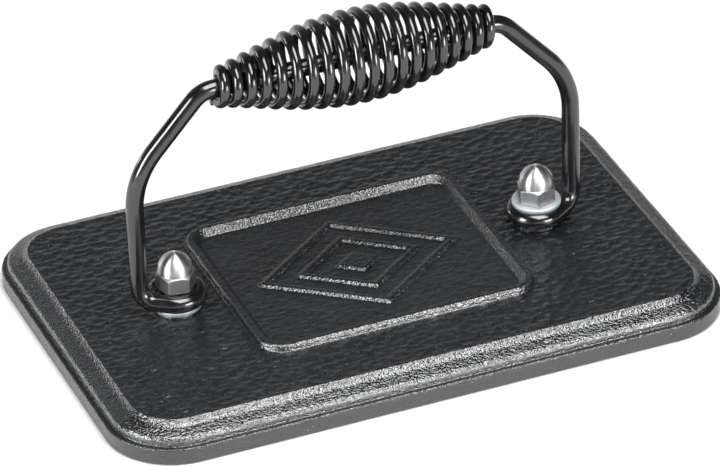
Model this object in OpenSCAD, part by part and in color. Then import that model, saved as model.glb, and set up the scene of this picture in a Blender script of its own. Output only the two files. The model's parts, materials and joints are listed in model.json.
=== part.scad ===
// Cast iron griddle press: a heavy plate with an ogee edge, carried by a bent rod handle
// whose middle is wrapped in a barrel-wound wire grip. Millimetres, +Z up, X along the grip.
// The origin is under the middle of the plate, on the cooking face.

/* [Plate] */
// Length of the plate along X
plate_l = 228.6; // [200:0.2:260]
// Depth of the plate along Y
plate_w = 152.4; // [130:0.2:180]
// Height of the flat top above the cooking face
plate_t = 12.75; // [11.75:0.25:15]
// Radius of the plate's corners, seen from above
corner_r = 25.4; // [20:0.2:34]
// Height of the square flange at the foot of the edge
flange_h = 6.5; // [5:0.1:7.2]
// Width of the ledge on top of the flange
ledge_w = 2; // [1.5:0.1:3]
// Height of the round bead's crest
bead_h = 10; // [9.4:0.1:10.8]
// Radius of the round bead
bead_r = 2.2; // [1.5:0.1:2.4]
// Distance from the outer edge in to the flat top
ogee_w = 9.5; // [8:0.1:12]
// Rounding at the foot of the flange
foot_r = 1; // [0.5:0.1:1.5]
// Rounding on the shoulder of the flange
lip_r = 0.7; // [0.3:0.1:1.2]

/* [Panel] */
// Length of the raised frame, outside
panel_l = 104; // [92:0.2:112]
// Depth of the raised frame, outside
panel_w = 86.4; // [72:0.2:102]
// Outer corner radius of the frame
panel_r = 10; // [7:0.5:13]
// Width of the frame at its foot
rim_w = 5.3; // [4:0.1:6.6]
// Height of the frame above the flat top
rim_h = 2.4; // [1:0.1:3]
// Length of the outer lozenge in the panel
lozenge_l = 76; // [60:1:82]
// Depth of the outer lozenge in the panel
lozenge_w = 58; // [44:1:62]
// Height of the lozenge ribs above the flat top
lozenge_h = 0.9; // [0.4:0.1:1.5]

/* [Handle rod] */
// Diameter of the rod
rod_d = 6.35; // [5.5:0.05:7]
// Distance between the two bolts
bolt_spacing = 136.8; // [134:0.2:137.4]
// Distance between the two upright legs
leg_spacing = 164; // [163:0.2:168]
// Height where a leg's line meets the shoulder's line
shoulder_h = 68.2; // [62:0.2:74]
// Height of the grip's axis above the cooking face
grip_h = 96.8; // [90:0.2:106]
// Distance between the points where the shoulders' lines meet the grip's axis
grip_span = 111.6; // [108:0.2:118]
// Bend radius between leg and shoulder
shoulder_bend_r = 32; // [20:1:36]
// Bend radius between shoulder and grip
grip_bend_r = 10; // [7:0.5:11]
// Bend radius at the foot of a leg
elbow_r = 6.2; // [5.6:0.1:6.6]
// Radius of an eye, at the middle of the rod
eye_r = 7.8; // [7.6:0.1:8.2]
// Angle at which the eye's cut end stops short of the leg
eye_end = 35; // [32:1:60]

/* [Grip coil] */
// Diameter of the wire
wire_d = 3.8; // [3.2:0.1:3.9]
// Whole turns of the wire
coil_turns = 20; // [15:1:20]
// How far the coil sits off the middle of the handle
coil_shift = 1.2; // [0:0.1:2]
// Radius of the middle turns, at the middle of the wire
coil_mid_r = 14.9; // [10:0.1:18]
// Clearance between the end turns and the rod
coil_clear = 0.35; // [0.3:0.05:0.8]
// Fullness of the barrel, lower is fuller
barrel_power = 1.35; // [1:0.05:2]
// How much wider the middle turns are spaced than the average
pitch_spread = 0.055; // [0:0.005:0.065]

/* [Fasteners] */
// Diameter of the bolts
bolt_d = 7.94; // [6:0.01:8]
// Diameter of the bolt holes in the plate
bolt_hole_d = 8.73; // [8.4:0.01:9]
// Diameter of the countersunk bolt head
head_d = 16.4; // [14:0.1:17]
// How far the bolt head sits above the cooking face
head_sink = 0.3; // [0.1:0.1:0.8]
// Width across the flats of the key socket in the bolt head
socket_af = 4.76; // [4:0.01:5]
// Width across the flats of the cap nuts
nut_af = 12.7; // [12.5:0.1:14]
// Height of the cap nuts
nut_h = 13.2; // [13:0.05:16]
// Height of the hexagon on a cap nut
hex_h = 6; // [5:0.1:7]
// Diameter of the cap nuts' dome
dome_d = 12.2; // [11:0.1:12.4]
// Outside diameter of the washers
washer_d = 17.46; // [15:0.02:17.8]
// Thickness of the washers
washer_t = 1.6; // [1:0.1:2.2]
// Diameter of the seats under the handle's eyes
seat_d = 17; // [15:0.2:24]
// Height of the seats above the flat top
seat_h = 0.8; // [0.4:0.1:1.5]

/* [Hidden] */
$fn = 96;

iron_color = "#2b2c2e";
black_color = "#17181a";
steel_color = "#c9cbcc";
zinc_color = "#b4bcc6";

// Small overlap that joins raised features to the plate
bite = 0.5;
// How far a cutting shape runs past the face that it opens
over = 1;
// Straight pieces in each round stretch of the edge outline
arc_steps = 8;
// The panel frame's steep outer slope and easy inner slope, as shares of its width
rim_outer_share = 0.09;
rim_inner_share = 0.46;
// The inner lozenge, a rib's width and the solid middle, as shares of the outer lozenge
lozenge_step = 0.62;
lozenge_rib = 0.11;
lozenge_core = 0.22;
// How much thinner the drawn straights of the rod are than its bends, on the radius
draw_in = 0.02;
// How far a straight of the rod runs on into the bend that it meets
poke = 0.3;

bolt_x = bolt_spacing / 2;
seat_z = plate_t + seat_h;
rod_r = rod_d / 2;
left_eye_z = seat_z + washer_t + rod_r;
right_eye_z = seat_z + rod_r;
nut_z = seat_z + washer_t + rod_d;

// Included angle of the bolt head's cone and of its seat in the plate
head_angle = 82;
// Straight rim at the widest part of the bolt head
head_rim = 0.4;
// Gap between the bolt head's cone and its seat
head_gap = 0.1;
socket_depth = 2.6;
bolt_r = bolt_d / 2;
head_cone_h = (head_d / 2 - bolt_r) / tan(head_angle / 2);
// Wall left between the end of the nut's bore and the top of the dome
dome_wall = 2.5;
// Clearance left between the bolt and the nut in place of a thread
thread_gap = 0.03;
// Room left between the bolt's tip and the end of the nut's bore
tip_gap = 1.2;
nut_bore_depth = nut_h - dome_wall;
bolt_tip_z = nut_z + nut_bore_depth - tip_gap;
tip_chamfer = 0.8;

// Turn of each hexagon about its bolt, as the nuts were left when tightened
left_nut_turn = 51;
right_nut_turn = 14;

function arc_points(c, r, from, to) =
    [for (i = [0 : arc_steps]) c + r * [cos(from + (to - from) * i / arc_steps),
                                        sin(from + (to - from) * i / arc_steps)]];

// Sweep a section round a rounded rectangle; the section's X runs out from the corner's centre
module sweep_round_rect(l, w, r) {
    for (i = [0 : 3]) {
        x = (i == 0 || i == 3 ? 1 : -1) * (l / 2 - r);
        y = (i < 2 ? 1 : -1) * (w / 2 - r);
        run = (i % 2 == 0 ? w : l) - 2 * r;
        translate([x, y, 0])
            rotate([0, 0, i * 90]) {
                rotate_extrude(angle = 90) children();
                rotate([90, 0, 0]) linear_extrude(height = run) children();
            }
    }
}

// Section of the plate's edge: flange, ledge, round bead and hollow up to the flat top
module edge_section() {
    bead_x = corner_r - ledge_w - bead_r;
    cove_w = ogee_w - ledge_w - bead_r;
    cove_rise = plate_t - bead_h;
    cove_r = (cove_w * cove_w + cove_rise * cove_rise) / (2 * cove_rise);
    cove_turn = 2 * atan(cove_rise / cove_w);
    polygon(concat(
        [[0, 0]],
        arc_points([corner_r - foot_r, foot_r], foot_r, -90, 0),
        arc_points([corner_r - lip_r, flange_h - lip_r], lip_r, 0, 90),
        [[corner_r - ledge_w, flange_h]],
        arc_points([bead_x, bead_h - bead_r], bead_r, 0, 90),
        [for (i = [1 : arc_steps])
            let (a = cove_turn * i / arc_steps)
            [bead_x - cove_r * sin(a), bead_h + cove_r * (1 - cos(a))]],
        [[0, plate_t]]
    ));
}

// Section of the panel's frame: a low rib, steep outside and bevelled inside
module rim_section() {
    inner = panel_r - rim_w;
    polygon([
        [inner, -bite],
        [panel_r, -bite],
        [panel_r, 0],
        [panel_r - rim_w * rim_outer_share, rim_h],
        [inner + rim_w * rim_inner_share, rim_h],
        [inner, 0]
    ]);
}

module lozenge(l, w) {
    polygon([[l / 2, 0], [0, w / 2], [-l / 2, 0], [0, -w / 2]]);
}

// Two lozenge ribs, one in the other, with a small solid lozenge in the middle
module panel_lozenges() {
    linear_extrude(height = bite + lozenge_h) {
        for (k = [1, lozenge_step])
            difference() {
                lozenge(lozenge_l * k, lozenge_w * k);
                lozenge(lozenge_l * (k - lozenge_rib), lozenge_w * (k - lozenge_rib));
            }
        lozenge(lozenge_l * lozenge_core, lozenge_w * lozenge_core);
    }
}

module bolt_hole() {
    seat_r = head_d / 2 + head_gap;
    cone_h = (seat_r - bolt_hole_d / 2) / tan(head_angle / 2);
    translate([0, 0, -over]) cylinder(d = bolt_hole_d, h = seat_z + 2 * over);
    translate([0, 0, -over]) cylinder(r = seat_r, h = over + head_sink + head_rim);
    translate([0, 0, head_sink + head_rim]) cylinder(r1 = seat_r, r2 = bolt_hole_d / 2, h = cone_h);
}

module press_plate() {
    color(iron_color)
        difference() {
            union() {
                sweep_round_rect(plate_l, plate_w, corner_r) edge_section();
                translate([corner_r - plate_l / 2, corner_r - plate_w / 2, 0])
                    cube([plate_l - 2 * corner_r, plate_w - 2 * corner_r, plate_t]);
                translate([0, 0, plate_t]) sweep_round_rect(panel_l, panel_w, panel_r) rim_section();
                translate([0, 0, plate_t - bite]) panel_lozenges();
                for (side = [-1, 1])
                    translate([side * bolt_x, 0, plate_t - bite]) cylinder(d = seat_d, h = bite + seat_h);
            }
            for (side = [-1, 1])
                translate([side * bolt_x, 0, 0]) bolt_hole();
        }
}

// The rod's bends and straights between the two elbows lie in the plane Y = 0
function rod_corners() = [
    [-leg_spacing / 2, left_eye_z + elbow_r],
    [-leg_spacing / 2, shoulder_h],
    [-grip_span / 2, grip_h],
    [grip_span / 2, grip_h],
    [leg_spacing / 2, shoulder_h],
    [leg_spacing / 2, right_eye_z + elbow_r]
];
bend_radii = [0, shoulder_bend_r, grip_bend_r, grip_bend_r, shoulder_bend_r, 0];

function heading(a, b) = atan2(b[1] - a[1], b[0] - a[0]);
// Clockwise turn at corner i, and the length of the corner's tangent
function turn_at(p, i) = heading(p[i - 1], p[i]) - heading(p[i], p[i + 1]);
function tangent_at(p, i) =
    i == 0 || i == len(p) - 1 ? 0 : bend_radii[i] * tan(turn_at(p, i) / 2);

module rod_straight(p, i) {
    a = heading(p[i], p[i + 1]);
    run = norm(p[i + 1] - p[i]) - tangent_at(p, i) - tangent_at(p, i + 1);
    start = p[i] + (tangent_at(p, i) - poke) * [cos(a), sin(a)];
    translate([start[0], 0, start[1]])
        rotate([0, 90 - a, 0])
            cylinder(r = rod_r - draw_in, h = run + 2 * poke);
}

module rod_bend(p, i) {
    a_in = heading(p[i - 1], p[i]);
    turn = turn_at(p, i);
    start = p[i] - tangent_at(p, i) * [cos(a_in), sin(a_in)];
    centre = start + bend_radii[i] * [sin(a_in), -cos(a_in)];
    translate([centre[0], 0, centre[1]])
        rotate([90, 0, 0])
            rotate([0, 0, a_in + 90 - turn])
                rotate_extrude(angle = turn) translate([bend_radii[i], 0]) circle(r = rod_r);
}

// Elbow, lead and eye at the foot of the right leg, round a bolt on the Z axis
module rod_foot(eye_z) {
    leg = leg_spacing / 2 - bolt_x;
    touch = acos(eye_r / leg);
    lead = leg * sin(touch);
    translate([0, 0, eye_z]) {
        translate([leg, 0, 0])
            rotate([0, 0, 270 - touch]) {
                translate([elbow_r, 0, elbow_r])
                    rotate([90, 0, 0])
                        rotate([0, 0, 180])
                            rotate_extrude(angle = 90) translate([elbow_r, 0]) circle(r = rod_r);
                translate([elbow_r - poke, 0, 0])
                    rotate([0, 90, 0])
                        cylinder(r = rod_r - draw_in, h = lead - elbow_r + 2 * poke);
            }
        rotate([0, 0, eye_end])
            rotate_extrude(angle = 360 - touch - eye_end) translate([eye_r, 0]) circle(r = rod_r);
    }
}

module handle_rod() {
    p = rod_corners();
    color(black_color) {
        for (i = [0 : len(p) - 2])
            rod_straight(p, i);
        for (i = [1 : len(p) - 2])
            rod_bend(p, i);
        translate([bolt_x, 0, 0]) rod_foot(right_eye_z);
        translate([-bolt_x, 0, 0]) mirror([1, 0, 0]) rod_foot(left_eye_z);
    }
}

// The wire's middle line: a left-hand helix that starts under the rod
coil_rings = 24;
coil_sides = 6;
coil_start = 270;
// How late along the coil the turns draw together, higher is later
pitch_power = 4;
coil_end_r = rod_r + coil_clear + wire_d / 2;
ring_last = coil_turns * coil_rings;

// The wire's ends turn out along the rod in a tight bend, with this radius at the middle of the wire
tail_bend_r = 2.1;
// How far such a bend runs sideways, as a share of its radius
tail_drift = 0.8;
tail_steps = 5;
// Rings by which the right end sets off before its turn is full, so that both ends lie under the rod
tail_cut = 3;
helix_last = ring_last - tail_cut;
last_point = helix_last + 2 * tail_steps;

// The coil is as long as fits between the shoulders with room for its ends to pass them
slant = atan2(grip_h - shoulder_h, (leg_spacing - grip_span) / 2);
tail_r = norm([coil_end_r, tail_drift * tail_bend_r]);
tail_tip = grip_span / 2 + tail_r / tan(slant) - (rod_r + wire_d / 2 + coil_clear / 4) / sin(slant);
coil_l = 2 * (tail_tip - tail_bend_r + wire_d * tail_cut / coil_rings - coil_shift);

// Place along the coil from -1 to 1, with the end turns drawn closer together
function coil_u(i) = 2 * i / ring_last - 1;
function coil_x(i) =
    let (u = coil_u(i))
    coil_shift + coil_l / 2 * u * (1 + pitch_spread - pitch_spread * pow(abs(u), pitch_power));
function coil_r(i) =
    let (u = min(1, abs(coil_u(i))))
    coil_end_r + (coil_mid_r - coil_end_r) * pow(max(0, cos(90 * u)), barrel_power);
function coil_angle(i) = coil_start - 360 * i / coil_rings;
function helix_point(i) =
    [coil_x(i), coil_r(i) * cos(coil_angle(i)), grip_h + coil_r(i) * sin(coil_angle(i))];
function unit(v) = v / norm(v);
function helix_heading(i) = unit(helix_point(min(i + 0.5, ring_last)) - helix_point(max(i - 0.5, 0)));

// Each ring of the wire stands on the helix or some steps round the bend of a tail
function ring_index(k) = min(max(k - tail_steps, 0), helix_last);
function ring_side(k) = k < tail_steps ? -1 : 1;
function ring_way(k) = ring_side(k) * helix_heading(ring_index(k));
function ring_turn(k) =
    acos(ring_side(k) * ring_way(k)[0]) * abs(k - tail_steps - ring_index(k)) / tail_steps;
function ring_lean(k) =
    let (out = [ring_side(k), 0, 0], way = ring_way(k))
    unit(out - (out * way) * way);
function wire_point(k) =
    let (t = ring_turn(k))
    helix_point(ring_index(k)) + tail_bend_r * (sin(t) * ring_way(k) + (1 - cos(t)) * ring_lean(k));
wire_points = [for (k = [0 : last_point]) wire_point(k)];
function wire_ring(k) =
    let (t = ring_turn(k),
         way = ring_way(k),
         lean = ring_lean(k),
         level = cross(way, lean),
         angle = coil_angle(ring_index(k)),
         radial = [0, cos(angle), sin(angle)],
         first = unit(radial - (radial * way) * way),
         along = ring_side(k) * (cos(t) * way + sin(t) * lean),
         out = (first * lean) * (cos(t) * lean - sin(t) * way) + (first * level) * level,
         across = cross(along, out))
    [for (s = [0 : coil_sides - 1])
        let (a = 360 * s / coil_sides)
        wire_points[k] + wire_d / 2 * (out * cos(a) + across * sin(a))];

module grip_coil() {
    points = [for (k = [0 : last_point]) each wire_ring(k)];
    side_faces = [for (k = [0 : last_point - 1], s = [0 : coil_sides - 1])
        let (a = k * coil_sides + s,
             b = k * coil_sides + (s + 1) % coil_sides)
        each [[a, a + coil_sides, b], [b, a + coil_sides, b + coil_sides]]];
    far = last_point * coil_sides;
    end_faces = [for (s = [1 : coil_sides - 2])
        each [[0, s, s + 1], [far, far + s + 1, far + s]]];
    color(black_color)
        polyhedron(points = points, faces = concat(side_faces, end_faces), convexity = 10);
}

// Least gap between neighbouring turns, measured on the wire's middle line
coil_gap = min([
    for (k = [0 : last_point])
        for (j = [k + coil_rings / 2 : min(k + 2 * coil_rings, last_point)])
            norm(wire_points[k] - wire_points[j])
]) - wire_d;
echo(least_gap_between_turns = coil_gap);

// Countersunk bolt with a key socket in its head
module bolt() {
    cone_z = head_sink + head_rim;
    color(steel_color)
        difference() {
            rotate_extrude()
                polygon([
                    [0, head_sink],
                    [head_d / 2, head_sink],
                    [head_d / 2, cone_z],
                    [bolt_r, cone_z + head_cone_h],
                    [bolt_r, bolt_tip_z - tip_chamfer],
                    [bolt_r - tip_chamfer, bolt_tip_z],
                    [0, bolt_tip_z]
                ]);
            translate([0, 0, head_sink - over])
                cylinder(d = socket_af / cos(30), h = socket_depth + over, $fn = 6);
        }
}

module left_bolt() {
    translate([-bolt_x, 0, 0]) bolt();
}

module right_bolt() {
    translate([bolt_x, 0, 0]) bolt();
}

// Domed nut: chamfered hexagon, short collar, half ball, blind bore
module cap_nut() {
    hex_r = nut_af / 2 / cos(30);
    chamfer_h = (hex_r - dome_d / 2) * tan(30);
    dome_z = nut_h - dome_d / 2;
    color(steel_color)
        difference() {
            union() {
                intersection() {
                    cylinder(r = hex_r, h = hex_h, $fn = 6);
                    union() {
                        cylinder(r = hex_r + over, h = hex_h - chamfer_h);
                        translate([0, 0, hex_h - chamfer_h])
                            cylinder(r1 = hex_r, r2 = dome_d / 2, h = chamfer_h);
                    }
                }
                cylinder(d = dome_d, h = dome_z);
                translate([0, 0, dome_z]) sphere(d = dome_d);
            }
            translate([0, 0, -over]) cylinder(r = bolt_r + thread_gap, h = nut_bore_depth + over);
        }
}

module left_cap_nut() {
    translate([-bolt_x, 0, nut_z]) rotate([0, 0, left_nut_turn]) cap_nut();
}

module right_cap_nut() {
    translate([bolt_x, 0, nut_z]) rotate([0, 0, right_nut_turn]) cap_nut();
}

module washer() {
    color(zinc_color)
        difference() {
            cylinder(d = washer_d, h = washer_t);
            translate([0, 0, -over]) cylinder(d = bolt_hole_d, h = washer_t + 2 * over);
        }
}

module left_washer() {
    translate([-bolt_x, 0, seat_z]) washer();
}

module right_washer() {
    translate([bolt_x, 0, nut_z - washer_t]) washer();
}

press_plate();
handle_rod();
grip_coil();
left_bolt();
right_bolt();
left_cap_nut();
right_cap_nut();
left_washer();
right_washer();
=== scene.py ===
"""Looks of a cast iron griddle press with a bent rod handle and a coil grip.

Everything is in metres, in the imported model's own frame: +Z up, X along the grip,
the origin under the middle of the plate.
"""

import json
import math

import bmesh
import bpy
import numpy as np
from mathutils import Matrix, Vector
from mathutils.geometry import tessellate_polygon

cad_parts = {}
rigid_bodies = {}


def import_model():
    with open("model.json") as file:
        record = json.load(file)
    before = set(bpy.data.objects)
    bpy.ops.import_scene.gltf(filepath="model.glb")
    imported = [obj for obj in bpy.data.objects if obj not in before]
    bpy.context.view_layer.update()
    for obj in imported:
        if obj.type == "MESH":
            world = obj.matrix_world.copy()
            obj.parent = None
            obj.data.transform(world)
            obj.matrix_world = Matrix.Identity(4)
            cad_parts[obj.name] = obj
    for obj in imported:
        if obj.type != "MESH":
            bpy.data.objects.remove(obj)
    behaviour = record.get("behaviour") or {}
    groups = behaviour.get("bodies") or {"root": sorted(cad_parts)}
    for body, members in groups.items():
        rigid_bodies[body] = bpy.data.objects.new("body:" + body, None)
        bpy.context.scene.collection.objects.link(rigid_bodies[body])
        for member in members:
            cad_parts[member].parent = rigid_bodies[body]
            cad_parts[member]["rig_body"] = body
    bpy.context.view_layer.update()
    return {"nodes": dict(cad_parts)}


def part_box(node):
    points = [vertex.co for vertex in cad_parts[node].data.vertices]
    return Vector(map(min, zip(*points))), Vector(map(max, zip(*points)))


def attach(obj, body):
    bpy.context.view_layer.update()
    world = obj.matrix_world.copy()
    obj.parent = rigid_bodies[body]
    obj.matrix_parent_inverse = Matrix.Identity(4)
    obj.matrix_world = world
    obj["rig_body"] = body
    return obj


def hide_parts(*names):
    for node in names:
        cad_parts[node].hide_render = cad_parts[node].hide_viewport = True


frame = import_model()

MM = 0.001

# The photograph's frame and the camera that was solved from the plate's edges
IMAGE_W = 720
FOCAL_PX = 6045
SENSOR_W = 36
VIEW_AZIMUTH = math.radians(-21.2944)
VIEW_ELEVATION = math.radians(32.1238)
VIEW_ROLL = math.radians(-1.8858)
VIEW_DISTANCE = 2168.7 * MM
VIEW_TARGET = Vector((15.13, 36.498, 0)) * MM

# Plate; the fold runs straight from that angle on the bead to that angle on the cove
plate_low, plate_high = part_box("press_plate")
PLATE_L = plate_high.x - plate_low.x
PLATE_W = plate_high.y - plate_low.y
PLATE_T = 12.75 * MM
CORNER_R = 25.4 * MM
FLANGE_H = 6.5 * MM
LEDGE_W = 2 * MM
BEAD_H = 10 * MM
BEAD_R = 2.2 * MM
OGEE_W = 9.5 * MM
FOOT_R = 1 * MM
LIP_R = 0.7 * MM
NOOK_R = 0.12 * MM
ARRIS = 0.35 * MM
FOLD_FROM, FOLD_TO = 55, 30
MESH_STEP = 0.5 * MM
CORNER_STEPS = 60
PLATE_SHARP = 60

# Raised panel on the plate: its frame, and lozenges sized as shares of the outermost one
PANEL_L = 104 * MM
PANEL_W = 86.4 * MM
PANEL_R = 10 * MM
RIM_W = 5.3 * MM
RIM_H = 2.4 * MM
RIM_OUTER = 0.09 * RIM_W
RIM_INNER = 0.46 * RIM_W
RIM_RUN = 2 * MM
RIM_ROOT = 0.4 * MM
RIM_SINK = 0.02 * MM
RIM_STEP = 0.3 * MM
RIM_ROUNDS = (0.3 * MM, 1.2 * MM, 0.9 * MM, 0.5 * MM)
LOZENGE_L = 76 * MM
LOZENGE_W = 58 * MM
LOZENGE_H = 0.9 * MM
LOZENGE_STEP = 0.62
LOZENGE_RIB = 0.11
LOZENGE_CORE = 0.22
LOZENGE_SIDE = 0.05

# Hammered field on the flat top, and how far it fades beside the frame, the seats and the edge
DIMPLE_PITCH = 5.6 * MM
DIMPLE_ROW = 2.5 * MM
DIMPLE_DEPTH = 0.46 * MM
DIMPLE_JITTER = 0.36
DIMPLE_REACH_X = 0.52
DIMPLE_REACH_Y = 0.72
DIMPLE_LEAST = 0.5
PANEL_FIELD = 0.25
RIM_FADE = 0.5 * MM
SEAT_FADE = 0.6 * MM
EDGE_FADE = 2 * MM

# Unevenness that sand leaves: depth, size and seed of each layer
EDGE_SAND = ((0.06 * MM, 9 * MM, 1), (0.09 * MM, 1.3 * MM, 2))
RIM_SAND = ((0.06 * MM, 1.1 * MM, 5), (0.05 * MM, 5 * MM, 6))

# Handle rod, and the seats that its feet stand on
ROD_R = 3.175 * MM
BOLT_X = 68.4 * MM
LEG_X = 82 * MM
SHOULDER_H = 68.2 * MM
GRIP_H = 96.8 * MM
GRIP_X = 55.8 * MM
SHOULDER_BEND_R = 32 * MM
GRIP_BEND_R = 10 * MM
ELBOW_R = 6.2 * MM
EYE_R = 7.8 * MM
EYE_END = math.radians(35)
ROD_STEP = 3 * MM
ROD_SIDES = 36
BAR_EASE = 0.12
BAR_SHARP = 40
SEAT_Z = PLATE_T + 0.8 * MM
SEAT_R = 8.5 * MM
SEAT_BRIM = 0.08 * MM
SEAT_BORE_GAP = 0.05 * MM
SEAT_SIDES = 96
WASHER_T = 1.6 * MM
LEFT_EYE_Z = SEAT_Z + WASHER_T + ROD_R
RIGHT_EYE_Z = SEAT_Z + ROD_R
NUT_Z = SEAT_Z + WASHER_T + 2 * ROD_R

# Grip coil
WIRE_R = 1.9 * MM
WIRE_SIDES = 20
COIL_TURNS = 20
COIL_L = 102.353 * MM
COIL_SHIFT = 1.2 * MM
COIL_MID_R = 14.9 * MM
COIL_END_R = ROD_R + 0.35 * MM + WIRE_R
BARREL_POWER = 1.35
PITCH_SPREAD = 0.055
PITCH_POWER = 4
COIL_START = math.radians(270)
COIL_RINGS = 48
TAIL_BEND_R = 2.1 * MM
TAIL_CUT = COIL_RINGS // 8

# Bolts
BOLT_R = 3.97 * MM
BOLT_HOLE_R = 4.365 * MM
HEAD_R = 8.2 * MM
HEAD_GAP = 0.1 * MM
HEAD_SINK = 0.3 * MM
HEAD_RIM = 0.4 * MM
HEAD_ANGLE = math.radians(82)
HEAD_EASE = 0.25 * MM
HEAD_ROUND = 0.2 * MM
SOCKET_AF = 4.76 * MM
SOCKET_DEPTH = 2.6 * MM
SOCKET_TIP = 0.5 * MM
BOLT_TIP_Z = 31 * MM
TIP_CHAMFER = 0.8 * MM
BOLT_SIDES = 96
BOLT_SHARP = 30
AXIS_R = 0.1 * MM

# Cap nuts
NUT_AF = 12.7 * MM
NUT_H = 13.2 * MM
HEX_H = 6 * MM
HEX_CUT = 0.18 * MM
HEX_EASE = 0.2 * MM
HEX_NICK = 0.12 * MM
HEX_CHAMFER = math.tan(math.radians(30))
DOME_R = 6.1 * MM
DOME_END = 88
WAIST_R = DOME_R + 0.05 * MM
WAIST_H = 0.35 * MM
WAIST_CUT = 0.1 * MM
NUT_BORE_DEPTH = 10.7 * MM
NUT_BORE_R = 4 * MM
NUT_BORE_TIP = 1.6 * MM
NUT_MOUTH = 0.5 * MM
NUT_SIDES = 144
NUT_SHARP = 22
LEFT_NUT_TURN = math.radians(51)
RIGHT_NUT_TURN = math.radians(14)

# Washers
WASHER_R = 8.73 * MM
WASHER_OVER = 0.45 * MM
WASHER_UNDER = 0.15 * MM
WASHER_SIDES = 96
WASHER_SHARP = 50


def smooth_step(value, low, high):
    """0 below low, 1 above high, and an S curve between them."""
    t = np.clip((value - low) / (high - low), 0, 1)
    return t * t * (3 - 2 * t)


HASH_ODD, HASH_STEP, HASH_MIX = 0x9E3779B97F4A7C15, 0x1F123BB5, 0xBF58476D1CE4E5B9


def hashed(*whole):
    """Repeatable random numbers from 0 to 1, one for each set of whole numbers."""
    mixed = np.zeros_like(whole[0], dtype=np.uint64)
    for k, part in enumerate(whole):
        odd = np.uint64(HASH_ODD + 2 * k * HASH_STEP)
        mixed ^= part.astype(np.int64).astype(np.uint64) * odd
        mixed ^= mixed >> np.uint64(29)
        mixed *= np.uint64(HASH_MIX)
        mixed ^= mixed >> np.uint64(32)
    return (mixed >> np.uint64(11)).astype(float) / float(1 << 53)


def value_noise(points, size, seed):
    """Smooth random values from -1 to 1 that change over about `size` metres."""
    scaled = points / size
    cell = np.floor(scaled)
    t = scaled - cell
    t = t * t * (3 - 2 * t)
    total = np.zeros(len(points))
    seeds = np.full(len(points), seed)
    for corner in np.ndindex(2, 2, 2):
        weight = np.prod(np.where(np.array(corner) == 1, t, 1 - t), axis=1)
        place = cell + np.array(corner)
        total += weight * hashed(*place.T, seeds)
    return 2 * total - 1


def sand(points, layers):
    """How far a cast skin falls short of its true place, never more than the layers' depths."""
    return sum(depth * (value_noise(points, size, seed) - 1) / 2 for depth, size, seed in layers)


def new_object(name, vertices, faces, sharp_degrees):
    """A smooth-shaded mesh object, sharp at edges above that angle, its faces turned outward."""
    mesh = bpy.data.meshes.new(name)
    mesh.from_pydata([tuple(v) for v in np.asarray(vertices, float)], [], [tuple(f) for f in faces])
    shape = bmesh.new()
    shape.from_mesh(mesh)
    bmesh.ops.recalc_face_normals(shape, faces=shape.faces)
    shape.to_mesh(mesh)
    shape.free()
    mesh.polygons.foreach_set("use_smooth", np.ones(len(mesh.polygons), bool))
    mesh.set_sharp_from_angle(angle=math.radians(sharp_degrees))
    made = bpy.data.objects.new(name, mesh)
    bpy.context.scene.collection.objects.link(made)
    return made


def band_faces(rings, count, first=0):
    """Quads between neighbouring rings of `count` points each."""
    ring, place = np.meshgrid(np.arange(rings - 1), np.arange(count), indexing="ij")
    a = first + ring * count + place
    b = first + ring * count + (place + 1) % count
    return np.stack([a, b, b + count, a + count], axis=-1).reshape(-1, 4)


def ring_quads(one, other):
    """Quads from each point of a ring to the same point of another."""
    return np.stack([one, np.roll(one, -1), np.roll(other, -1), other], axis=1).tolist()


def closed_bands(rings, count, first=0):
    """Faces of a closed ring: bands from each row to the next, and from the last to the first."""
    low, high = first + np.arange(count), first + (rings - 1) * count + np.arange(count)
    return band_faces(rings, count, first).tolist() + ring_quads(high, low)


def capped(name, rings, sharp_degrees):
    """An object of bands from ring to ring, closed by a face at each end."""
    sides = len(rings[0])
    vertices = np.reshape(rings, (-1, 3))
    faces = band_faces(len(rings), sides).tolist()
    faces += [list(range(sides)), list(range(len(vertices) - sides, len(vertices)))]
    return new_object(name, vertices, faces, sharp_degrees)


def round_angles(sides):
    return np.linspace(0, 2 * math.pi, sides, endpoint=False)


def lathe(rows, sides):
    """Rings about the Z axis; a row gives a radius and a height, plain or for each point."""
    angle = round_angles(sides)
    rings = []
    for radius, z in rows:
        radius, z = np.broadcast_to(radius, sides), np.broadcast_to(z, sides)
        rings.append(np.stack([radius * np.cos(angle), radius * np.sin(angle), z], axis=1))
    return np.array(rings)


def arc(centre, radius, start, end, steps):
    """Points of an arc in a plane, with the angles in degrees."""
    angle = np.radians(np.linspace(start, end, steps + 1))
    return np.array(centre) + radius * np.stack([np.cos(angle), np.sin(angle)], axis=1)


def fillet(before, corner, after, radius, steps):
    """Points of the round bend that joins two straight runs at a corner."""
    a, b = before - corner, after - corner
    a, b = a / np.linalg.norm(a), b / np.linalg.norm(b)
    half = math.acos(np.clip(np.dot(a, b), -1, 1)) / 2
    middle = (a + b) / np.linalg.norm(a + b)
    centre = corner + middle * radius / math.sin(half)
    start = corner + a * radius / math.tan(half) - centre
    end = corner + b * radius / math.tan(half) - centre
    turn = math.pi - 2 * half
    share = np.linspace(0, 1, steps + 1)[:, None]
    swing = np.sin((1 - share) * turn) * start + np.sin(share * turn) * end
    return centre + swing / math.sin(turn)


def even_run(points, step):
    """The same path with extra points along its long straight runs."""
    filled = [points[0]]
    for a, b in zip(points[:-1], points[1:]):
        parts = max(1, int(np.linalg.norm(b - a) / step))
        filled += [a + (b - a) * (k + 1) / parts for k in range(parts)]
    return np.array(filled)


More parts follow.
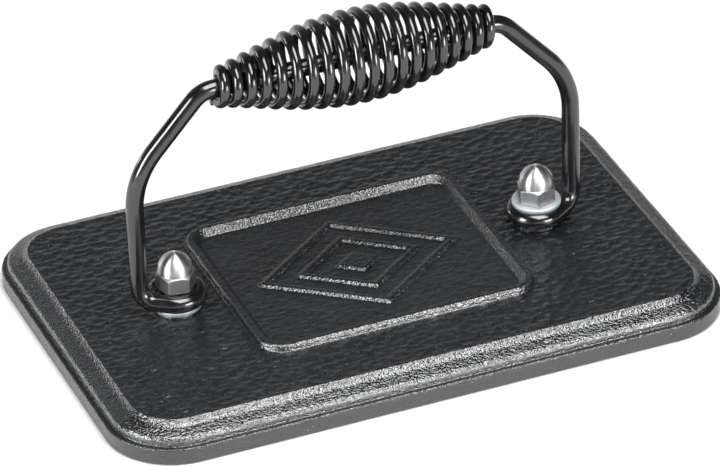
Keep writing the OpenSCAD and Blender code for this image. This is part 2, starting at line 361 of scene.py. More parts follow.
def ogee():
    """The edge's bead, the soft fold over it, the cove and the eased arris at the flat top."""
    bead_x = CORNER_R - LEDGE_W - BEAD_R
    cove_w = OGEE_W - LEDGE_W - BEAD_R
    cove_rise = PLATE_T - BEAD_H
    cove_r = (cove_w**2 + cove_rise**2) / (2 * cove_rise)
    cove_turn = 2 * math.degrees(math.atan(cove_rise / cove_w))
    bead = arc((bead_x, BEAD_H - BEAD_R), BEAD_R, 0, FOLD_FROM, 9)
    cove = arc((bead_x, BEAD_H + cove_r), cove_r, -90 - FOLD_TO, -90 - cove_turn, 16)
    arris = cove[-1]
    cove = cove[np.linalg.norm(cove - arris, axis=1) > ARRIS]
    fold = bead[-1] + np.linspace(0, 1, 10)[1:-1, None] * (cove[0] - bead[-1])
    flat = arris - np.array([ARRIS, 0])
    share = np.linspace(0, 1, 8)[1:, None]
    rounded = (1 - share) ** 2 * cove[-1] + 2 * share * (1 - share) * arris + share**2 * flat
    return np.vstack([bead, fold, cove, rounded])


def plate_edge():
    """Section of the edge from the cooking face up: distance from the corner's centre, height."""
    wall = np.linspace(FOOT_R, FLANGE_H - LIP_R, 8)[1:-1]
    nook_x = CORNER_R - LEDGE_W + NOOK_R
    ledge = np.linspace(CORNER_R - LIP_R, nook_x, 3)[1:-1]
    return np.vstack([
        arc((CORNER_R - FOOT_R, FOOT_R), FOOT_R, -90, 0, 5),
        np.stack([np.full(len(wall), CORNER_R), wall], axis=1),
        arc((CORNER_R - LIP_R, FLANGE_H - LIP_R), LIP_R, 0, 90, 5),
        np.stack([ledge, np.full(len(ledge), FLANGE_H)], axis=1),
        arc((nook_x, FLANGE_H + NOOK_R), NOOK_R, 270, 180, 4),
        ogee(),
    ])


def mesh_steps(half):
    """How many mesh steps go into the straight sides of a ring, along X and along Y."""
    return [int(n) for n in np.round(2 * half / MESH_STEP)]


def ring_base(half, steps):
    """Where each point of a ring with round corners starts from, and its way out from there."""
    starts, ways = [], []
    corners = np.array([(1, 1), (-1, 1), (-1, -1), (1, -1)]) * half
    for k, corner in enumerate(corners):
        turn = np.radians(np.linspace(90 * k, 90 * k + 90, CORNER_STEPS + 1))
        ways += list(np.stack([np.cos(turn), np.sin(turn)], axis=1))
        starts += [corner] * len(turn)
        run = steps[k % 2]
        share = np.arange(1, run)[:, None] / run
        starts += list(corner * (1 - share) + corners[(k + 1) % 4] * share)
        ways += [ways[-1]] * (run - 1)
    return np.array(starts), np.array(ways)


def dimple_field(x, y):
    """How deep the hammered field lies: 0 on its ridges and up to 1 in the middle of a dimple."""
    depth = np.zeros_like(x)
    row = np.round(y / DIMPLE_ROW)
    for r in (row - 1, row, row + 1):
        shift = 0.5 * np.mod(r, 2)
        column = np.round(x / DIMPLE_PITCH - shift)
        for c in (column - 1, column, column + 1):
            slip_x, slip_y, size = (hashed(c, r, np.full_like(c, draw)) for draw in (1, 2, 3))
            dx = x / DIMPLE_PITCH - shift - c - DIMPLE_JITTER * (2 * slip_x - 1)
            dy = y / DIMPLE_ROW - r - DIMPLE_JITTER * (2 * slip_y - 1)
            bowl = 1 - (dx / DIMPLE_REACH_X) ** 2 - (dy / DIMPLE_REACH_Y) ** 2
            amount = DIMPLE_LEAST + (1 - DIMPLE_LEAST) * size
            depth = np.maximum(depth, amount * np.clip(bowl, 0, 1))
    return depth


def panel_inset(x, y):
    """Distance in from the outer line of the panel's frame, below 0 outside it."""
    qx = np.abs(x) - (PANEL_L / 2 - PANEL_R)
    qy = np.abs(y) - (PANEL_W / 2 - PANEL_R)
    outside = np.hypot(np.maximum(qx, 0), np.maximum(qy, 0))
    return PANEL_R - outside - np.minimum(np.maximum(qx, qy), 0)


def lozenge_ribs(x, y):
    """1 on the two lozenge ribs and on the small lozenge inside them, 0 beside them."""
    reach = np.abs(x) / (LOZENGE_L / 2) + np.abs(y) / (LOZENGE_W / 2)
    side = LOZENGE_SIDE
    ribs = smooth_step(LOZENGE_CORE + side / 2 - reach, 0, side)
    for outer in (1, LOZENGE_STEP):
        within = smooth_step(outer + side / 2 - reach, 0, side)
        beyond = smooth_step(reach - outer + LOZENGE_RIB + side / 2, 0, side)
        ribs = np.maximum(ribs, within * beyond)
    return ribs


def top_relief(x, y):
    """Height of the top's surface over its flat level: lozenges and hammered field."""
    inset = panel_inset(x, y)
    rim = smooth_step(inset, -RIM_FADE, 0) * smooth_step(RIM_W - inset, -RIM_FADE, 0)
    ribs = lozenge_ribs(x, y)
    from_bolt = np.hypot(np.abs(x) - BOLT_X, y)
    seat = 1 - smooth_step(from_bolt, SEAT_R, SEAT_R + SEAT_FADE)
    from_edge = np.maximum(np.abs(x) - PLATE_L / 2, np.abs(y) - PLATE_W / 2)
    bare = (1 - rim) * (1 - ribs) * (1 - seat)
    bare *= smooth_step(from_edge, -OGEE_W, -OGEE_W - EDGE_FADE)
    field = np.where(inset > 0, PANEL_FIELD, 1.0)
    return LOZENGE_H * ribs - DIMPLE_DEPTH * field * bare * dimple_field(x, y)


def frame_section():
    """The frame's section from outside to inside: distance in from its outer line, and height."""
    outside = [(-RIM_RUN, 0), (0, 0), (RIM_OUTER, RIM_H)]
    inside = [(RIM_W - RIM_INNER, RIM_H), (RIM_W, 0), (RIM_W + RIM_RUN, 0)]
    corners = [np.array(corner) for corner in outside + inside]
    bends = zip(corners, corners[1:], corners[2:], RIM_ROUNDS)
    section = np.vstack([fillet(*bend, 8) for bend in bends])
    section[:, 1] -= RIM_SINK
    low = [(section[-1, 0], -RIM_ROOT), (section[0, 0], -RIM_ROOT)]
    return np.vstack([even_run(section, RIM_STEP), low])


def panel_frame(first):
    """The panel's frame, steep outside and bevelled inside, a closed ring rooted in the top."""
    half = np.array([PANEL_L / 2 - PANEL_R, PANEL_W / 2 - PANEL_R])
    starts, ways = ring_base(half, mesh_steps(half))
    section = frame_section()
    rings = np.zeros((len(section), len(starts), 3))
    rings[:, :, :2] = starts + (PANEL_R - section[:, 0])[:, None, None] * ways
    rings[:, :, 2] = PLATE_T + section[:, 1:]
    points = rings.reshape(-1, 3)
    fall = sand(points, RIM_SAND).reshape(rings.shape[:2])
    rings[:, :, 2] += fall * np.clip(section[:, 1:] / RIM_H, 0, 1)
    return points, closed_bands(len(section), len(starts), first)


def handle_seat(first, x):
    """The low round seat under a foot of the handle, a closed ring rooted in the flat top."""
    bore = BOLT_HOLE_R + SEAT_BORE_GAP
    section = np.vstack([
        [(SEAT_R, PLATE_T - RIM_ROOT)],
        arc((SEAT_R - SEAT_BRIM, SEAT_Z - SEAT_BRIM), SEAT_BRIM, 0, 90, 4),
        [(bore, SEAT_Z), (bore, PLATE_T - RIM_ROOT)],
    ])
    rings = lathe(section, SEAT_SIDES)
    rings[:, :, 0] += x
    return rings.reshape(-1, 3), closed_bands(len(section), SEAT_SIDES, first)


def rough_edge(rings, edge, ways):
    """Draws the edge in a little, unevenly, as sand leaves it."""
    along = np.gradient(edge, axis=0)
    out = np.stack([along[:, 1], -along[:, 0]], axis=1)
    out /= np.linalg.norm(out, axis=1)[:, None]
    uneven = sand(rings.reshape(-1, 3), EDGE_SAND).reshape(rings.shape[:2])
    rings[:, :, :2] += (uneven * out[:, :1])[:, :, None] * ways
    rings[:, :, 2] += np.where(edge[:, 1:] > FOOT_R, uneven * out[:, 1:], 0)


def plate_rings(starts, ways):
    """Rings of points from the cooking face over the edge, and in over the top to the grid."""
    edge = plate_edge()
    band = np.linspace(edge[-1, 0], 0, int(edge[-1, 0] / MESH_STEP) + 1)[1:-1]
    profile = np.vstack([edge, np.stack([band, np.full(len(band), PLATE_T)], axis=1)])
    rings = np.zeros((len(profile), len(starts), 3))
    rings[:, :, :2] = starts + profile[:, None, :1] * ways
    rings[:, :, 2] = profile[:, 1:2]
    rough_edge(rings[: len(edge)], edge, ways)
    top = rings[len(edge):].reshape(-1, 3)
    top[:, 2] += top_relief(top[:, 0], top[:, 1])
    return rings


def hole_ring(grid, inside, across, centre):
    """Grid points round a bolt hole, in order round the hole, and their places on its edge."""
    corners = set()
    for j, i in np.argwhere(inside):
        corners |= {(j, i), (j, i + 1), (j + 1, i), (j + 1, i + 1)}
    rim = []
    for j, i in corners:
        around = [(j - 1, i - 1), (j - 1, i), (j, i - 1), (j, i)]
        if not all(inside[a, b] for a, b in around):
            rim.append(j * across + i)
    rim = np.array(rim)
    away = grid[rim] - centre
    order = np.argsort(np.arctan2(away[:, 1], away[:, 0]))
    rim, away = rim[order], away[order]
    return rim, centre + BOLT_HOLE_R * away / np.linalg.norm(away, axis=1)[:, None]


def top_grid(half, steps):
    """Points and cells of the fine grid on top, open at the bolt holes, and each hole's rim."""
    x, y = (np.linspace(-reach, reach, n + 1) for reach, n in zip(half, steps))
    across = len(x)
    grid = np.stack(np.meshgrid(x, y), axis=-1).reshape(-1, 2)
    column, row = np.meshgrid(np.arange(steps[0]), np.arange(steps[1]))
    corner = (row * across + column).ravel()
    cells = np.stack([corner, corner + 1, corner + across + 1, corner + across], axis=1)
    middles = np.stack(np.meshgrid((x[1:] + x[:-1]) / 2, (y[1:] + y[:-1]) / 2), axis=-1)
    keep = np.ones(len(cells), bool)
    holes = []
    for side in (-1, 1):
        centre = np.array([side * BOLT_X, 0])
        inside = np.linalg.norm(middles - centre, axis=-1) < BOLT_HOLE_R
        rim, moved = hole_ring(grid, inside, across, centre)
        grid[rim] = moved
        keep &= ~inside.ravel()
        holes.append((centre, rim))
    return grid, cells[keep], holes


def grid_seam(starts, half, steps, first):
    """Faces from the innermost ring to the border of the grid, whose points begin at `first`."""
    column, row = np.round((starts + half) / (2 * half) * steps).astype(int).T
    joined = first + row * (steps[0] + 1) + column
    count = len(starts)
    last = first - count
    faces = []
    for k in range(count):
        n = (k + 1) % count
        faces.append(list(dict.fromkeys([last + k, last + n, joined[n], joined[k]])))
    return faces


def hole_wall(centre, rim, rim_xy, total):
    """A bolt hole's wall and countersink, from its rim on top down to the cooking face."""
    sink_r = HEAD_R + HEAD_GAP
    cone_h = (sink_r - BOLT_HOLE_R) / math.tan(HEAD_ANGLE / 2)
    rim_z = HEAD_SINK + HEAD_RIM
    away = (rim_xy - centre) / BOLT_HOLE_R
    points, faces, upper = [], [], rim
    for radius, z in ((BOLT_HOLE_R, rim_z + cone_h), (sink_r, rim_z), (sink_r, 0)):
        points.append(np.column_stack([centre + radius * away, np.full(len(rim), z)]))
        lower = total + np.arange(len(rim))
        total += len(rim)
        faces += ring_quads(upper, lower)
        upper = lower
    return np.vstack(points), faces, upper


def cooking_face(vertices, loops):
    """Triangles of the flat underside, between its outline and the bolt holes."""
    flat = np.concatenate([np.array(loop) for loop in loops])
    corners = [[Vector(vertices[v]) for v in loop] for loop in loops]
    return [[flat[v] for v in face] for face in tessellate_polygon(corners)]


def make_plate():
    """The casting: edge, fine grid on top, bolt holes, flat cooking face, panel frame, seats."""
    half = np.array([PLATE_L / 2 - CORNER_R, PLATE_W / 2 - CORNER_R])
    steps = mesh_steps(half)
    starts, ways = ring_base(half, steps)
    rings = plate_rings(starts, ways)
    grid, cells, holes = top_grid(half, steps)
    top = np.column_stack([grid, PLATE_T + top_relief(grid[:, 0], grid[:, 1])])
    first = len(rings) * len(starts)
    vertices = np.vstack([rings.reshape(-1, 3), top])
    faces = band_faces(len(rings), len(starts)).tolist() + (first + cells).tolist()
    faces += grid_seam(starts, half, steps, first)
    loops = [range(len(starts))]
    for centre, rim in holes:
        points, wall, loop = hole_wall(centre, first + rim, grid[rim], len(vertices))
        vertices = np.vstack([vertices, points])
        faces += wall
        loops.append(loop)
    faces += cooking_face(vertices, loops)
    for add, *where in ((panel_frame,), (handle_seat, -BOLT_X), (handle_seat, BOLT_X)):
        points, more_faces = add(len(vertices), *where)
        vertices = np.vstack([vertices, points])
        faces += more_faces
    return new_object("plate_casting", vertices, faces, PLATE_SHARP)


def sweep(name, path, radius, sides):
    """A round bar along a path of points, with eased ends."""
    along = np.gradient(path, axis=0)
    along /= np.linalg.norm(along, axis=1)[:, None]
    ease = BAR_EASE * radius
    head, tail = [], []
    for tilt in np.radians(np.linspace(90, 0, 4))[:-1]:
        back, r = 1 - math.sin(tilt), radius - ease + ease * math.cos(tilt)
        head.append((path[0] + along[0] * ease * back, r, 0))
        tail.append((path[-1] - along[-1] * ease * back, r, -1))
    stations = head + [(path[k], radius, k) for k in range(1, len(path) - 1)] + tail[::-1]
    side = np.cross(along[0], (0, 0, 1) if abs(along[0][2]) < 0.9 else (0, 1, 0))
    side /= np.linalg.norm(side)
    angle = round_angles(sides)[:, None]
    rings = []
    for centre, r, k in stations:
        side = side - np.dot(side, along[k]) * along[k]
        side /= np.linalg.norm(side)
        other = np.cross(along[k], side)
        rings.append(centre + r * (np.cos(angle) * side + np.sin(angle) * other))
    return capped(name, rings, BAR_SHARP)


def foot_path(eye_z):
    """A right-hand foot from the eye's cut end, round the bolt, out, and up into the leg."""
    leg = LEG_X - BOLT_X
    touch = math.acos(EYE_R / leg)
    angle = np.linspace(EYE_END, 2 * math.pi - touch, 90)
    eye = EYE_R * np.stack([np.cos(angle), np.sin(angle), np.zeros(len(angle))], axis=1)
    foot = np.array([leg, 0, 0])
    elbow = fillet(eye[-1], foot, foot + np.array([0, 0, 1]), ELBOW_R, 16)
    return np.vstack([eye, elbow]) + np.array([BOLT_X, 0, eye_z])


def make_rod():
    """The bail: an eye at each foot, upright legs, slanting shoulders and a level grip."""
    shoulders = [np.array([s * LEG_X, 0, SHOULDER_H]) for s in (-1, 1)]
    grips = [np.array([s * GRIP_X, 0, GRIP_H]) for s in (-1, 1)]
    left_foot = foot_path(LEFT_EYE_Z) * np.array([-1, 1, 1])
    right_foot = foot_path(RIGHT_EYE_Z)[::-1]
    path = np.vstack([
        left_foot,
        fillet(left_foot[-1], shoulders[0], grips[0], SHOULDER_BEND_R, 14),
        fillet(shoulders[0], grips[0], grips[1], GRIP_BEND_R, 12),
        fillet(grips[0], grips[1], shoulders[1], GRIP_BEND_R, 12),
        fillet(grips[1], shoulders[1], right_foot[0], SHOULDER_BEND_R, 14),
        right_foot,
    ])
    return sweep("handle_bail", even_run(path, ROD_STEP), ROD_R, ROD_SIDES)


def wire_tail(start, way, side):
    """A short bend that turns the wire's end from its helix to run along the rod."""
    way = way / np.linalg.norm(way)
    out = np.array([side, 0, 0])
    lean = out - np.dot(out, way) * way
    lean /= np.linalg.norm(lean)
    turn = np.linspace(0, math.acos(np.dot(out, way)), 9)[1:, None]
    return start + TAIL_BEND_R * (np.sin(turn) * way + (1 - np.cos(turn)) * lean)


def make_coil():
    """The grip: one wire wound into a left-handed barrel, its ends turned out along the rod."""
    whole = COIL_TURNS * COIL_RINGS
    k = np.arange(whole - TAIL_CUT + 1)
    u = 2 * k / whole - 1
    spread = 1 + PITCH_SPREAD - PITCH_SPREAD * np.abs(u) ** PITCH_POWER
    swell = np.maximum(0, np.cos(np.pi / 2 * u)) ** BARREL_POWER
    x = COIL_SHIFT + COIL_L / 2 * u * spread
    r = COIL_END_R + (COIL_MID_R - COIL_END_R) * swell
    angle = COIL_START - 2 * np.pi * k / COIL_RINGS
    helix = np.stack([x, r * np.cos(angle), GRIP_H + r * np.sin(angle)], axis=1)
    lead = wire_tail(helix[0], helix[0] - helix[1], -1)[::-1]
    tail = wire_tail(helix[-1], helix[-1] - helix[-2], 1)
    return sweep("grip_wire", np.vstack([lead, helix, tail]), WIRE_R, WIRE_SIDES)


def hexagon(across_flats, sides):
    """Radius of a hexagon at each of the ring's angles."""
    return across_flats / 2 / np.cos(np.mod(round_angles(sides), math.pi / 3) - math.pi / 6)


def nut_hexagon():
    """Rings of a nut's hexagon: eased foot, flats, and a turned chamfer up to the dome."""
    flats = hexagon(NUT_AF, NUT_SIDES)
    corner = np.minimum(flats, flats.max() - HEX_CUT)
    top = HEX_H - (corner - WAIST_R) * HEX_CHAMFER
    return [
        (corner - HEX_EASE, 0.04 * MM),
        (corner, HEX_EASE),
        (corner, HEX_H * 0.4),
        (corner, top - HEX_NICK),
        (corner - 0.1 * MM, top + 0.03 * MM),
        ((corner + WAIST_R) / 2, (top + HEX_H) / 2),
        (WAIST_R, HEX_H),
    ]


def make_cap_nut(name, x, turn):
    """A domed nut: a blind bore, a hexagon with a turned chamfer, and a dome on it."""
    dome_z = NUT_H - DOME_R
    dome = np.radians(np.linspace(0, DOME_END, 26))
    rows = [
        (0.2 * MM, NUT_BORE_DEPTH),
        (NUT_BORE_R, NUT_BORE_DEPTH - NUT_BORE_TIP),
        (NUT_BORE_R, NUT_MOUTH),
        (NUT_BORE_R + NUT_MOUTH, 0),
        (NUT_AF / 2 - 0.35 * MM, 0),
        *nut_hexagon(),
        (DOME_R - WAIST_CUT, HEX_H + HEX_NICK),
        (DOME_R, HEX_H + WAIST_H),
        *[(DOME_R * math.cos(a), dome_z + DOME_R * math.sin(a)) for a in dome],
    ]
    nut = capped(name, lathe(rows, NUT_SIDES), NUT_SHARP)
    nut.data.transform(Matrix.Translation((x, 0, NUT_Z)) @ Matrix.Rotation(turn, 4, "Z"))
    return nut


def make_washer(name, x, z):
    """A stamped washer: rounded over on its upper edge and sharper below."""
    over, under = WASHER_OVER, WASHER_UNDER
    section = np.vstack([
        [(BOLT_HOLE_R, under), (BOLT_HOLE_R + under, 0), (WASHER_R - under, 0), (WASHER_R, under)],
        arc((WASHER_R - over, WASHER_T - over), over, 0, 90, 6),
        arc((BOLT_HOLE_R + over, WASHER_T - over), over, 90, 180, 5),
    ])
    vertices = lathe(section, WASHER_SIDES).reshape(-1, 3)
    faces = closed_bands(len(section), WASHER_SIDES)
    washer = new_object(name, vertices, faces, WASHER_SHARP)
    washer.data.transform(Matrix.Translation((x, 0, z)))
    return washer


def make_bolt(name, x):
    """A countersunk bolt with a key socket in its head."""
    socket = hexagon(SOCKET_AF, BOLT_SIDES)
    cone_h = (HEAD_R - BOLT_R) / math.tan(HEAD_ANGLE / 2)
    floor = HEAD_SINK + SOCKET_DEPTH
    rows = [
        (AXIS_R, floor + SOCKET_TIP),
        (SOCKET_AF / 2 - 0.3 * MM, floor + 0.05 * MM),
        (socket, floor),
        (socket, HEAD_SINK + HEAD_EASE),
        (socket + HEAD_EASE, HEAD_SINK),
        (HEAD_R - HEAD_EASE, HEAD_SINK),
        (HEAD_R - 0.3 * HEAD_ROUND, HEAD_SINK + 0.3 * HEAD_ROUND),
        (HEAD_R, HEAD_SINK + HEAD_ROUND),
        (HEAD_R, HEAD_SINK + HEAD_RIM),
        (BOLT_R, HEAD_SINK + HEAD_RIM + cone_h),
        (BOLT_R, BOLT_TIP_Z - TIP_CHAMFER),
        (BOLT_R - TIP_CHAMFER, BOLT_TIP_Z),
        (AXIS_R, BOLT_TIP_Z),
    ]
    bolt = capped(name, lathe(rows, BOLT_SIDES), BOLT_SHARP)
    bolt.data.transform(Matrix.Translation((x, 0, 0)))
    return bolt


# The part of a noise's range that most of its values lie in
NOISE_LOW, NOISE_HIGH = 0.3, 0.7


def set_stops(ramp, stops):
    """Gives a colour ramp its stops, each a position and a colour."""
    points = ramp.elements
    points[0].position, points[1].position = stops[0][0], stops[-1][0]
    points[0].color, points[1].color = (*stops[0][1], 1), (*stops[-1][1], 1)
    for place, colour in stops[1:-1]:
        points.new(place).color = (*colour, 1)


class Look:
    """A material made of nodes, built round one Principled shader."""

    def __init__(self, name, **sockets):
        self.material = bpy.data.materials.new(name)
        self.material.use_nodes = True
        self.tree = self.material.node_tree
        self.shader = self.tree.nodes["Principled BSDF"]
        for socket, value in sockets.items():
            self.shader.inputs[socket.replace("_", " ")].default_value = value
        coordinates = self.tree.nodes.new("ShaderNodeTexCoord")
        self.place, self.facing = coordinates.outputs["Object"], coordinates.outputs["Normal"]

    def node(self, kind, **inputs):
        made = self.tree.nodes.new(kind)
        for name, value in inputs.items():
            self.feed(made.inputs[name.replace("_", " ")], value)
        return made

    def feed(self, socket, value):
        if isinstance(value, bpy.types.NodeSocket):
            self.tree.links.new(value, socket)
        else:
            socket.default_value = value

    def use(self, socket, value):
        self.feed(self.shader.inputs[socket], value)

    def upward(self, vector):
        return self.node("ShaderNodeSeparateXYZ", Vector=vector).outputs["Z"]

    def noise(self, size, detail=2.0, roughness=0.5, stretch=None):
        place = self.place
        if stretch:
            place = self.node("ShaderNodeMapping", Vector=place, Scale=stretch).outputs[0]
        made = self.node("ShaderNodeTexNoise", Vector=place, Scale=1 / size, Detail=detail)
        made.inputs["Roughness"].default_value = roughness
        return made.outputs["Fac"]

    def pits(self, size):
        made = self.node("ShaderNodeTexVoronoi", Vector=self.place, Scale=1 / size)
        return made.outputs["Distance"]

    def spread(self, value, low, high, to_low, to_high):
        """Carries the range from low to high over to another, whose ends may be sockets."""
        made = self.node("ShaderNodeMapRange", Value=value)
        ends = {"From Min": low, "From Max": high, "To Min": to_low, "To Max": to_high}
        for name, number in ends.items():
            self.feed(made.inputs[name], number)
        return made.outputs["Result"]

    def wander(self, noise, low, high):
        """Wanders between two values as a noise does."""
        return self.spread(noise, NOISE_LOW, NOISE_HIGH, low, high)

    def larger(self, one, other):
        made = self.tree.nodes.new("ShaderNodeMath")
        made.operation = "MAXIMUM"
        self.feed(made.inputs[0], one)
        self.feed(made.inputs[1], other)
        return made.outputs[0]

    def colours(self, value, stops):
        ramp = self.node("ShaderNodeValToRGB", Fac=value)
        set_stops(ramp.color_ramp, stops)
        return ramp.outputs["Color"]

    def tones(self, noise, one, other):
        """Wanders between two colours as a noise does."""
        return self.colours(noise, [(NOISE_LOW, one), (NOISE_HIGH, other)])

    def bump(self, height, depth, under=None):
        made = self.node("ShaderNodeBump", Height=height, Distance=depth)
        if under is not None:
            self.feed(made.inputs["Normal"], under)
        return made.outputs["Normal"]


# Seasoned iron: the colour wanders between the two tones by a noise; each other pair is for the
# smooth flats, then for the coarse edges and slopes
IRON_TONES = ((0.005, 0.0066, 0.0086), (0.011, 0.0126, 0.0146))
IRON_SMOOTHEST = (0.22, 0.12)
IRON_ROUGHEST = (0.32, 0.2)
IRON_WRINKLES = (0.22 * MM, 0)
IRON_GRAIN = (0.16 * MM, 0.42 * MM)
IRON_PITS = 0.03 * MM
FLAT_SHINE, FLANGE_SHINE, EDGE_SHINE = 0.2, 0.25, 0.5
LEVEL = 0.97


def coarse_share(look, height):
    """1 where the sand shows coarse, on the edge above its ledge and on slopes, 0 on flats."""
    upright = look.upward(look.facing)
    over_ledge = look.spread(height, FLANGE_H + 0.1 * MM, FLANGE_H + 0.5 * MM, 0, 1)
    off_ledge = look.spread(upright, 0.85, LEVEL, 1, over_ledge)
    edge = look.spread(height, PLATE_T - 0.8 * MM, PLATE_T - 0.4 * MM, off_ledge, 0)
    slope = look.spread(upright, 0.9, LEVEL, 1, 0)
    return look.larger(edge, slope)


def seasoned_iron():
    """Black seasoned casting: coarse sand on its edges, wrinkled flats, uneven oil film."""
    look = Look("seasoned_iron", IOR=2.5)
    look.use("Base Color", look.tones(look.noise(14 * MM, detail=3), *IRON_TONES))
    height = look.upward(look.place)
    coarse = coarse_share(look, height)
    smoothest = look.spread(coarse, 0, 1, *IRON_SMOOTHEST)
    roughest = look.spread(coarse, 0, 1, *IRON_ROUGHEST)
    look.use("Roughness", look.wander(look.noise(2.5 * MM, detail=4), smoothest, roughest))
    shine = look.spread(height, FLANGE_H - 0.3 * MM, FLANGE_H, FLANGE_SHINE, EDGE_SHINE)
    look.use("Specular IOR Level", look.spread(coarse, 0, 1, FLAT_SHINE, shine))
    wrinkles = look.noise(1.6 * MM, detail=3, roughness=0.6, stretch=(0.45, 1, 1))
    wrinkled = look.bump(wrinkles, look.spread(coarse, 0, 1, *IRON_WRINKLES))
    grain = look.noise(0.9 * MM, roughness=0.6)
    grained = look.bump(grain, look.spread(coarse, 0, 1, *IRON_GRAIN), wrinkled)
    look.use("Normal", look.bump(look.pits(1.1 * MM), IRON_PITS, grained))
    return look.material


ENAMEL_TONES = ((0.004, 0.004, 0.005), (0.009, 0.009, 0.01))


def black_enamel(name):
    """Glossy black paint with a faint orange peel."""
    look = Look(name, IOR=1.8)
    look.use("Base Color", look.tones(look.noise(6 * MM), *ENAMEL_TONES))
    look.use("Roughness", look.wander(look.noise(3 * MM, detail=3), 0.13, 0.2))
    look.use("Normal", look.bump(look.noise(1.8 * MM), 0.012 * MM))
    return look.material


def bright_stainless():
    """Stainless nuts: a dome turned in rings that draw its highlights out, and a duller hexagon
    whose colour is painted darker as painted shade.
    """
    look = Look("bright_stainless", Metallic=1, Anisotropic_Rotation=0.25)
    height = look.upward(look.place)
    waist = NUT_Z + HEX_H - 0.2 * MM, NUT_Z + HEX_H + 0.2 * MM
    cloud = look.noise(4 * MM)
    # Painted shade: the hexagon below the waist gets a far darker colour than the dome, both
    # wandering a little with the noise
    shade = look.spread(height, *waist, look.wander(cloud, 0, 0.2), look.wander(cloud, 0.8, 1))
    look.use("Base Color", look.colours(shade, [(0, (0.32, 0.32, 0.33)), (1, (0.7, 0.7, 0.7))]))
    round_axis = look.node("ShaderNodeTangent")
    round_axis.direction_type = "RADIAL"
    round_axis.axis = "Z"
    look.use("Tangent", round_axis.outputs[0])
    look.use("Anisotropic", look.spread(height, *waist, 0.1, 0.85))
    marks = look.noise(0.6 * MM, stretch=(0.25, 0.25, 3))
    smoothest = look.spread(height, *waist, 0.36, 0.38)
    look.use("Roughness", look.wander(marks, smoothest, 0.46))
    look.use("Normal", look.bump(marks, 0.0015 * MM))
    return look.material


def zinc_plate():
    """Zinc plating with a bluish passivated tint that wanders."""
    look = Look("zinc_plate", Metallic=1)
    blue, pale, warm = (0.6, 0.68, 0.75), (0.72, 0.78, 0.82), (0.76, 0.76, 0.72)
    tint = [(NOISE_LOW, blue), (0.5, pale), (NOISE_HIGH, warm)]
    look.use("Base Color", look.colours(look.noise(3 * MM), tint))
    look.use("Roughness", look.wander(look.noise(0.8 * MM, detail=4), 0.58, 0.7))
    look.use("Normal", look.bump(look.noise(0.35 * MM, detail=3), 0.004 * MM))
    return look.material


STEEL_TONES = ((0.3, 0.29, 0.28), (0.5, 0.5, 0.5))


def plain_steel():
    """Dull steel of the bolts, greyed by heat and oil."""
    look = Look("plain_steel", Metallic=1)
    look.use("Base Color", look.tones(look.noise(3 * MM, detail=4), *STEEL_TONES))
    look.use("Roughness", look.wander(look.noise(1 * MM, detail=4), 0.3, 0.5))
    look.use("Normal", look.bump(look.noise(0.3 * MM, detail=3), 0.01 * MM))
    return look.material


def dress(piece, node, material):
    """Lets a piece stand for its CAD node, on that node's body and in that finish."""
    body = frame["nodes"][node]["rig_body"]
    piece.data.materials.append(material)
    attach(piece, body)
    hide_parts(node)


def make_object():
    rod_paint, wire_paint = black_enamel("rod_enamel"), black_enamel("wire_enamel")
    stainless, zinc, steel = bright_stainless(), zinc_plate(), plain_steel()
    dress(make_plate(), "press_plate", seasoned_iron())
    dress(make_rod(), "handle_rod", rod_paint)
    dress(make_coil(), "grip_coil", wire_paint)
    for name, side, turn in (("left", -1, LEFT_NUT_TURN), ("right", 1, RIGHT_NUT_TURN)):
        x = side * BOLT_X
        washer_z = SEAT_Z if side < 0 else NUT_Z - WASHER_T
        bolt = make_bolt(f"{name}_through_bolt", x)
        dress(bolt, f"{name}_bolt", steel)
        nut = make_cap_nut(f"{name}_dome_nut", x, turn)
        dress(nut, f"{name}_cap_nut", stainless)
        washer = make_washer(f"{name}_flat_washer", x, washer_z)
        dress(washer, f"{name}_washer", zinc)


def away_from_target(azimuth, elevation):
    """Unit vector from the object towards that azimuth and elevation; azimuth 0 is in front."""
    flat = math.cos(elevation)
    return Vector((math.sin(azimuth) * flat, -math.cos(azimuth) * flat, math.sin(elevation)))


def make_camera():
    back = away_from_target(VIEW_AZIMUTH, VIEW_ELEVATION)
    right = Vector((math.cos(VIEW_AZIMUTH), math.sin(VIEW_AZIMUTH), 0))
    up = back.cross(right)
    rolled_right = math.cos(VIEW_ROLL) * right + math.sin(VIEW_ROLL) * up
    rolled_up = math.cos(VIEW_ROLL) * up - math.sin(VIEW_ROLL) * right
    data = bpy.data.cameras.new("photo_camera")
    data.sensor_width = SENSOR_W
    data.sensor_fit = "HORIZONTAL"
    data.lens = FOCAL_PX / IMAGE_W * SENSOR_W
    camera = bpy.data.objects.new("photo_camera", data)
    turn = Matrix((rolled_right, rolled_up, back)).transposed().to_4x4()
    camera.matrix_world = Matrix.Translation(VIEW_TARGET + back * VIEW_DISTANCE) @ turn
    bpy.context.scene.collection.objects.link(camera)
    bpy.context.scene.camera = camera


LIGHT_DISTANCE = 1.6


def softbox(name, azimuth, elevation, width, height, radiance):
    """A rectangular studio light facing the object, as bright as asked over its whole face."""
    data = bpy.data.lights.new(name, "AREA")
    data.shape = "RECTANGLE"
    data.size, data.size_y = width, height
    data.energy = 4 * width * height * radiance
    light = bpy.data.objects.new(name, data)
    way = away_from_target(math.radians(azimuth), math.radians(elevation))
    light.location = way * LIGHT_DISTANCE
    light.rotation_mode = "QUATERNION"
    light.rotation_quaternion = way.to_track_quat("Z", "Y")
    bpy.context.scene.collection.objects.link(light)


def make_lights():
    softbox("top_softbox", azimuth=13, elevation=74, width=0.88, height=1.2, radiance=6.8)
    softbox("left_softbox", azimuth=-75, elevation=21, width=0.5, height=0.85, radiance=13)
    softbox("camera_softbox", azimuth=22, elevation=14, width=0.7, height=0.5, radiance=10)
    softbox("back_left_softbox", azimuth=-143, elevation=5, width=0.3, height=0.14, radiance=9)


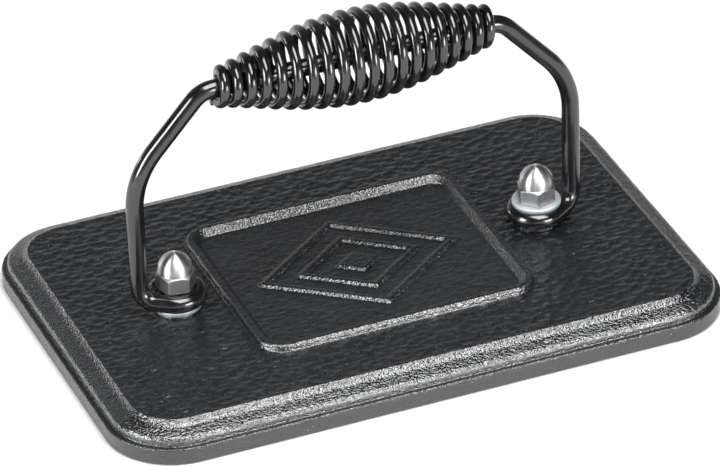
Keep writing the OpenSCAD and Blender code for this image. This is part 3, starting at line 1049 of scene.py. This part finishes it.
def seen_share(tree):
    """1 on rays from the camera, mirrors and glass, and 0 on rays that only carry light."""
    path = tree.nodes.new("ShaderNodeLightPath")
    total = path.outputs["Is Camera Ray"]
    for name in ("Is Glossy Ray", "Is Transmission Ray"):
        add = tree.nodes.new("ShaderNodeMath")
        add.operation = "MAXIMUM"
        tree.links.new(total, add.inputs[0])
        tree.links.new(path.outputs[name], add.inputs[1])
        total = add.outputs[0]
    return total


# The seen sweep: its grey by height, how it dims aside, and the even fill that only lights
SKY = [(0.0, 0.9), (0.14, 0.7), (0.3, 0.45), (0.45, 0.28), (0.6, 0.1), (0.85, 0.03)]
DIM_ASIDE = {"From Min": 0.36, "From Max": 0.54, "To Min": 1, "To Max": 0.2}
AMBIENT = 0.08


def make_sky(tree):
    """The white sweep that the camera and mirrors see, fading to dark overhead and aside."""
    place = tree.nodes.new("ShaderNodeTexCoord")
    parts = tree.nodes.new("ShaderNodeSeparateXYZ")
    shade = tree.nodes.new("ShaderNodeValToRGB")
    set_stops(shade.color_ramp, [(height, (grey, grey, grey)) for height, grey in SKY])
    aside = tree.nodes.new("ShaderNodeMath")
    aside.operation = "ABSOLUTE"
    dim = tree.nodes.new("ShaderNodeMapRange")
    for name, number in DIM_ASIDE.items():
        dim.inputs[name].default_value = number
    seen = tree.nodes.new("ShaderNodeBackground")
    tree.links.new(place.outputs["Generated"], parts.inputs[0])
    tree.links.new(parts.outputs["Z"], shade.inputs[0])
    tree.links.new(shade.outputs[0], seen.inputs["Color"])
    tree.links.new(parts.outputs["X"], aside.inputs[0])
    tree.links.new(aside.outputs[0], dim.inputs["Value"])
    tree.links.new(dim.outputs["Result"], seen.inputs["Strength"])
    return seen


def make_world():
    """The seen sweep, and a weak even fill where the world only lights."""
    world = bpy.data.worlds.new("studio")
    bpy.context.scene.world = world
    world.use_nodes = True
    tree = world.node_tree
    tree.nodes.clear()
    seen = make_sky(tree)
    fill = tree.nodes.new("ShaderNodeBackground")
    fill.inputs["Color"].default_value = (1, 1, 1, 1)
    fill.inputs["Strength"].default_value = AMBIENT
    mix = tree.nodes.new("ShaderNodeMixShader")
    out = tree.nodes.new("ShaderNodeOutputWorld")
    tree.links.new(seen_share(tree), mix.inputs[0])
    tree.links.new(fill.outputs[0], mix.inputs[1])
    tree.links.new(seen.outputs[0], mix.inputs[2])
    tree.links.new(mix.outputs[0], out.inputs["Surface"])


FLOOR_SIZE = 12
FLOOR_DROP = 0.05 * MM
FLOOR_PATCH = 0.4
FLOOR_TONES = ((0.79, 0.79, 0.79), (0.81, 0.81, 0.81))
FLOOR_GLOW = 0.1


def make_floor():
    """A pale plain floor that shows white round the object and keeps its shadow."""
    half = FLOOR_SIZE / 2
    corners = [(-half, -half, 0), (half, -half, 0), (half, half, 0), (-half, half, 0)]
    floor = new_object("studio_floor", corners, [(0, 1, 2, 3)], 30)
    floor.location.z = -FLOOR_DROP
    look = Look("pale_floor", Roughness=1, Specular_IOR_Level=0)
    look.use("Base Color", look.tones(look.noise(FLOOR_PATCH), *FLOOR_TONES))
    look.shader.inputs["Emission Color"].default_value = (1, 1, 1, 1)
    glow = look.node("ShaderNodeMath", Value=seen_share(look.tree))
    glow.operation = "MULTIPLY"
    glow.inputs[1].default_value = FLOOR_GLOW
    look.use("Emission Strength", glow.outputs[0])
    floor.data.materials.append(look.material)


make_camera()
make_object()
make_floor()
make_lights()
make_world()
bpy.context.scene.view_settings.view_transform = "Standard"
